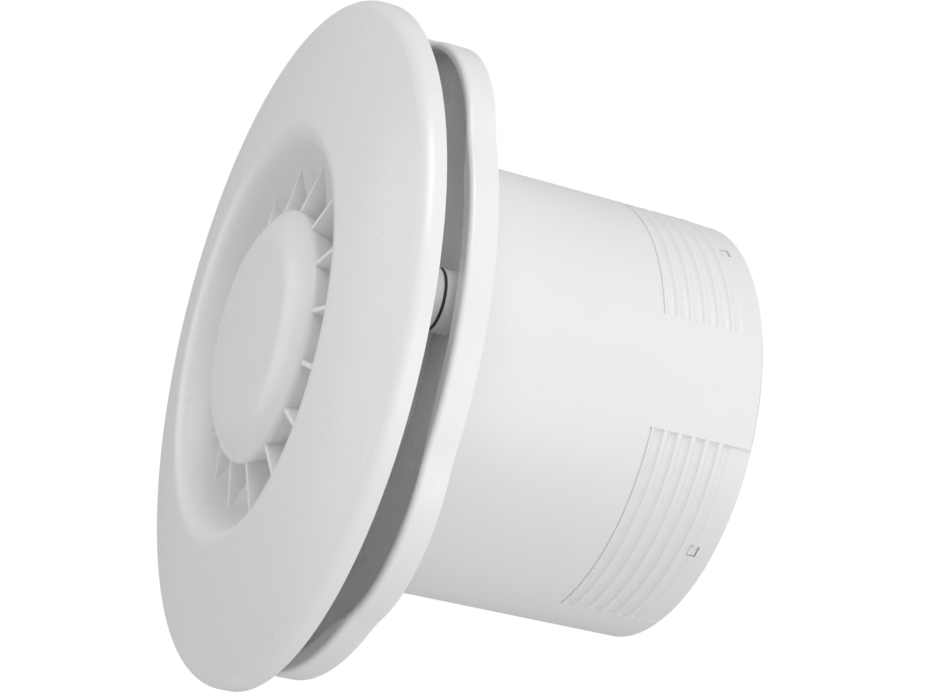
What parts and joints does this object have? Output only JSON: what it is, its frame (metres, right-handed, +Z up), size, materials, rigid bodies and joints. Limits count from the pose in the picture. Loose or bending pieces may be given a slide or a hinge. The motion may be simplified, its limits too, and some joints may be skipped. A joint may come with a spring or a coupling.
{
  "type": "bathroom extractor fan",
  "caption": "Round bathroom extractor fan: dished front panel with finned centre cap, wall flange tray and ribbed duct spigot holding a shaded-pole motor, impeller and back-draught flap",
  "frame": {"origin": "Centre of the wall plane: the point where the fan's axis meets the rear face of the base frame", "axes": "+X to the right seen from the room, +Y along the fan axis into the wall and duct, +Z up"},
  "size_m": [0.155, 0.1033, 0.155],
  "materials": {
    "white_abs": "satin injection-moulded white ABS",
    "spigot_abs": "cooler white moulded ABS, finely satin",
    "impeller_abs": "pale grey moulded plastic",
    "flap_abs": "thin moulded white plastic",
    "grey_nylon": "glass-filled nylon, matt",
    "natural_nylon": "natural nylon, slightly translucent cream",
    "black_rubber": "matt black rubber",
    "zinc_steel": "bright zinc-plated steel",
    "ground_steel": "ground steel",
    "spring_steel": "oiled spring steel",
    "lamination_steel": "stacked steel sheets, dull cut edges",
    "cast_alloy": "die-cast alloy",
    "copper": "drawn copper",
    "bronze": "sintered bronze",
    "brass": "nickel-free turned brass",
    "winding_tape": "yellow polyester tape over the winding",
    "red_fibre": "vulcanised fibre",
    "brown_pvc": "brown PVC insulation",
    "blue_pvc": "blue PVC insulation"
  },
  "bodies": {
    "housing": {"base_frame": "white_abs", "spigot": "spigot_abs", "spigot_screws": "zinc_steel", "terminal_block": "natural_nylon", "terminal_inserts": "brass", "terminal_screws": "zinc_steel", "terminal_block_screw": "zinc_steel", "cable_clamp": "natural_nylon", "cable_clamp_screws": "zinc_steel", "cable_grommet": "black_rubber", "terminal_cover": "white_abs", "terminal_cover_screw": "zinc_steel", "motor_spider": "grey_nylon", "spider_screws": "zinc_steel", "stator_core": "lamination_steel", "shading_rings": "copper", "coil_bobbin": "natural_nylon", "coil_winding": "winding_tape", "front_bearing_bracket": "cast_alloy", "rear_bearing_bracket": "cast_alloy", "front_bush": "bronze", "rear_bush": "bronze", "motor_screws": "zinc_steel", "motor_nuts": "zinc_steel", "live_lead": "brown_pvc", "neutral_lead": "blue_pvc", "shutter_frame": "spigot_abs", "flap_pin": "ground_steel"},
    "panel": {"front_panel": "white_abs", "centre_cap": "white_abs", "post_washers": "black_rubber"},
    "rotor": {"motor_shaft": "ground_steel", "rotor_core": "lamination_steel", "rotor_cage": "cast_alloy", "thrust_washers": "red_fibre", "impeller": "impeller_abs", "impeller_clip": "spring_steel"},
    "flap": {"back_draught_flap": "flap_abs"}
  },
  "joints": [
    {"name": "impeller_spin", "type": "hinge", "parent": "housing", "child": "rotor", "pos_m": [0, 0.0155, 0], "axis": [0, 1, 0], "continuous": true},
    {"name": "panel_pull", "type": "slide", "parent": "housing", "child": "panel", "axis": [0, -1, 0], "range_m": [0, 0.012]},
    {"name": "flap_swing", "type": "hinge", "parent": "housing", "child": "flap", "pos_m": [0, 0.072, 0.0395], "axis": [1, 0, 0], "range_deg": [0, 55]}
  ]
}
